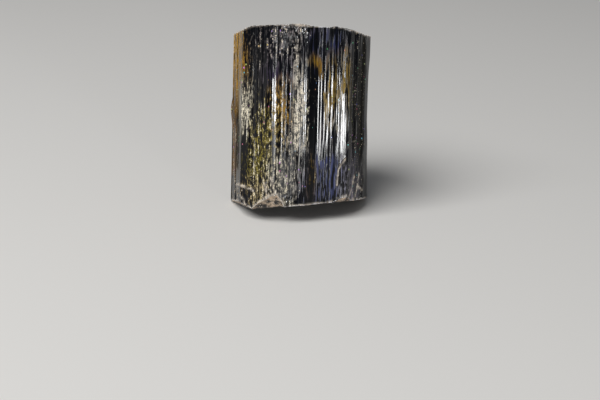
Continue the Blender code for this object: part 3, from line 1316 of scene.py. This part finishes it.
    def write_zones(self, mesh: Mesh, wall: Wall, bruised: np.ndarray, lines: np.ndarray) -> None:
        """Writes the wall's zones as point attributes.

        Args:
            mesh: The prism's mesh.
            wall: Its vertices.
            bruised: How bruised each vertex is.
            lines: How close each vertex lies to a ridge.
        """
        degrees = wall.degrees + self.zone_wander * wall.wander
        heights = wall.heights + self.zone_fray.at(wall.places)
        tint = np.zeros((len(degrees), 4))
        cloud = np.zeros(len(degrees))
        for spot in self.tints:
            share = spot.share(degrees, heights)
            under = tint[:, 3] * (1 - share)
            over = spot.strength * share
            weight = over / np.maximum(over + under, 1e-6)
            tint[:, :3] += (np.array(linear(spot.colour))[:3] - tint[:, :3]) * weight[:, None]
            cloud += (spot.cloudy - cloud) * weight
            tint[:, 3] = over + under
        nearest = np.min([cut.depth(wall.places) for cut in self.breaks], axis=0)
        dotted = self.dot_share + self.dotting.at(wall.places)
        rim = np.clip(self.rim_reach - nearest / self.rim_width, 0, 1) * np.clip(dotted, 0, 1)
        zones = {
            Zone.CLOUD: cloud,
            Zone.SILVER_SHEEN: strongest(self.silver_sheen_everywhere, self.silver_sheen_patches, degrees, heights),
            Zone.GRAIN: strongest(self.bruise_grain * bruised, self.grains, degrees, heights),
            Zone.RIM: np.maximum(rim, lines * np.clip(dotted + self.ridge_share, 0, 1)),
        }
        for zone, values in zones.items():
            layer = mesh.attributes.new(zone.value, "FLOAT", "POINT")
            layer.data.foreach_set("value", values.astype(np.float32))
        layer = mesh.attributes.new(Zone.TINT.value, "FLOAT_COLOR", "POINT")
        layer.data.foreach_set("color", tint.astype(np.float32).ravel())

    def build(self, growth: Material, broken: Material) -> Object:
        """Builds the crystal.

        Args:
            growth: The material of the growth faces.
            broken: The material of the breaks.

        Returns:
            The crystal, in the frame that it stands in.
        """
        prism = self.swept_wall(growth)
        self.shape_wall(prism)
        prism.data.materials.clear()
        prism.data.materials.append(growth)
        prism.data.materials.append(broken)
        cutters = [cut.cutter(self.section) for cut in self.breaks] + [self.notch.cutter()]
        for cutter in cutters:
            modifier = prism.modifiers.new(cutter.name, "BOOLEAN")
            modifier.operation = "DIFFERENCE"
            modifier.solver = "MANIFOLD"
            modifier.object = cutter
        crystal = applied(prism, "tourmaline_prism")
        for cutter in cutters:
            bpy.data.objects.remove(cutter)
        for face in crystal.data.polygons:
            face.use_smooth = face.material_index == Skin.BREAK.value
        crystal.data.transform(crystal_to_row())
        return crystal


@dataclass(frozen=True)
class GrainScatter:
    """Grains of mica, scattered by Geometry Nodes where the crystal is bruised or broken.

    A grain's shares say how much of its size it has along each of its own axes.
    """

    name: str
    zone: Zone
    threshold: float
    per_square_mm: float
    size: float
    seed: int
    least_height: float = 0.4
    least_shares: tuple[float, float, float] = (0.35, 0.35, 0.25)
    most_shares: tuple[float, float, float] = (1.0, 1.0, 0.8)

    def build(self, host: Object, mica: Material) -> Object:
        """Scatters the grains over a copy of the host.

        Args:
            host: The finished crystal.
            mica: The grains' material.

        Returns:
            The grains, as one plain mesh.
        """
        inputs = {
            "Zone Threshold": self.threshold,
            "Grains Per Square Metre": self.per_square_mm / MM**2,
            "Grain Size": self.size * MM,
            "Least Height": self.least_height * MM,
            "Seed": self.seed,
            "Material": mica,
        }
        tree = geometry_tree(self.name, inputs)
        add = partial(add_node, tree)
        given = tree.nodes["in"].outputs
        above = {"data_type": "FLOAT", "operation": "GREATER_THAN"}
        zone = add("GeometryNodeInputNamedAttribute", {"Name": self.zone.value}, data_type="FLOAT")
        inside = add("FunctionNodeCompare", {0: zone, 1: given["Zone Threshold"]}, **above)
        where = add("GeometryNodeInputPosition", {})
        height = add("ShaderNodeSeparateXYZ", {"Vector": where}).outputs["Z"]
        clear = add("FunctionNodeCompare", {0: height, 1: given["Least Height"]}, **above)
        spots = {
            "Mesh": given["Geometry"],
            "Selection": add("FunctionNodeBooleanMath", {0: inside, 1: clear}),
            "Density": given["Grains Per Square Metre"],
            "Seed": given["Seed"],
        }
        full_turn = (math.tau, math.tau, math.tau)
        turn, shares = (
            {0: least, 1: most, "Seed": given["Seed"]}
            for least, most in (((0.0, 0.0, 0.0), full_turn), (self.least_shares, self.most_shares))
        )
        grain = {"Radius": given["Grain Size"], "Subdivisions": 1}
        scattered = {
            "Points": add("GeometryNodeDistributePointsOnFaces", spots),
            "Instance": add("GeometryNodeMeshIcoSphere", grain),
            "Rotation": add("FunctionNodeRandomValue", turn, data_type="FLOAT_VECTOR"),
            "Scale": add("FunctionNodeRandomValue", shares, data_type="FLOAT_VECTOR"),
        }
        placed = add("GeometryNodeInstanceOnPoints", scattered)
        return run_tree(new_object("carrier", host.data.copy()), tree, placed, inputs, self.name)


# --- the studio ---


@dataclass(frozen=True)
class SoftBox:
    """A soft white light: where it is, what it aims at, its size and its power."""

    name: str
    at: tuple[float, float, float]
    aim: tuple[float, float, float]
    size: tuple[float, float]
    power: float

    def build(self) -> None:
        """Adds the light to the scene."""
        data = bpy.data.lights.new(self.name, "AREA")
        data.shape = "RECTANGLE"
        data.size, data.size_y = (side * MM for side in self.size)
        data.energy = self.power
        towards = Vector(self.aim) - Vector(self.at)
        turn = towards.to_track_quat("-Z", "Y").to_matrix().to_4x4()
        new_object(self.name, data).matrix_world = Matrix.Translation(Vector(self.at) * MM) @ turn


@dataclass(frozen=True)
class Studio:
    """The floor, the lights and the camera."""

    floor_half: float = 3000.0
    floor_colour: str = "#e9e7e3"
    floor_roughness: float = 0.8
    air_colour: str = "#dfe3ea"
    air_strength: float = 0.12
    lights: tuple[SoftBox, ...] = (
        SoftBox("key", (-250, -240, 470), (0, 0, 10), (400, 400), 3.0),
        SoftBox("front_card", (167, -363, 32.2), (0, -2, 20), (46, 28.5), 0.28),
    )
    lens: float = 106.0
    nearest: float = 10.0
    distance: float = 289.0
    pitch: float = 18.8
    roll: float = 1.35
    aim: tuple[float, float, float] = (0.28, -1.58, 0.5)

    def build_floor(self) -> Object:
        """Builds the plain pale floor.

        Returns:
            The floor.
        """
        bm = bmesh.new()
        bmesh.ops.create_grid(bm, x_segments=1, y_segments=1, size=self.floor_half * MM)
        floor = mesh_object("floor", bm)
        material, tree, shader = new_material("matte_paper")
        paper = {"Base Color": linear(self.floor_colour), "Roughness": self.floor_roughness}
        connect(tree, shader, paper)
        floor.data.materials.append(material)
        return floor

    def build_air(self) -> None:
        """Fills the room with even, dim light."""
        world = bpy.data.worlds.new("studio_air")
        world.use_nodes = True
        air = {"Color": linear(self.air_colour), "Strength": self.air_strength}
        connect(world.node_tree, world.node_tree.nodes["Background"], air)
        bpy.context.scene.world = world

    def build_camera(self) -> None:
        """Sets the camera in front of the crystal, looking a little down."""
        data = bpy.data.cameras.new("camera")
        data.lens = self.lens
        data.clip_start = self.nearest * MM
        camera = new_object("camera", data)
        tilt = math.radians(90 - self.pitch)
        turn = Matrix.Rotation(tilt, 4, "X") @ Matrix.Rotation(math.radians(self.roll), 4, "Z")
        back = turn @ Vector((0, 0, self.distance))
        camera.matrix_world = Matrix.Translation((Vector(self.aim) + back) * MM) @ turn
        bpy.context.scene.camera = camera

    def build(self) -> None:
        """Builds the whole studio."""
        self.build_floor()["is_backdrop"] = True
        self.build_air()
        self.build_camera()
        for light in self.lights:
            light.build()
        bpy.context.scene.view_settings.view_transform = "Standard"
        log.info("studio: floor, air, camera and %d lights", len(self.lights))


# --- putting it together ---


def corners(bounds: Iterable[Iterable[float]]) -> list[list[float]]:
    """A box's two corners as plain lists of numbers."""
    return [[float(value) for value in corner] for corner in bounds]


def main() -> None:
    """Builds every piece, in order, and hands each to the frame."""
    logging.basicConfig(level=logging.INFO, format="%(name)s: %(message)s")
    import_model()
    cad_box = corners(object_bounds())
    Studio().build()

    growth = GrowthFace().material()
    broken = BreakFace().material()
    mica = Mica().material()
    crystal = Crystal().build(growth, broken)
    scatters = (
        GrainScatter("rim_grains", Zone.RIM, 0.6, 10.0, 0.1, 5),
        GrainScatter("wall_grains", Zone.GRAIN, 0.6, 3.2, 0.1, 8),
    )
    pieces = [crystal] + [scatter.build(crystal, mica) for scatter in scatters]
    for piece in pieces:
        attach(piece, BODY)
        log.info("%s: %d faces", piece.name, len(piece.data.polygons))
    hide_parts(CAD_NODE)

    {"cad": cad_box, "visual": corners(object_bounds())}


if __name__ == "__main__":
    main()
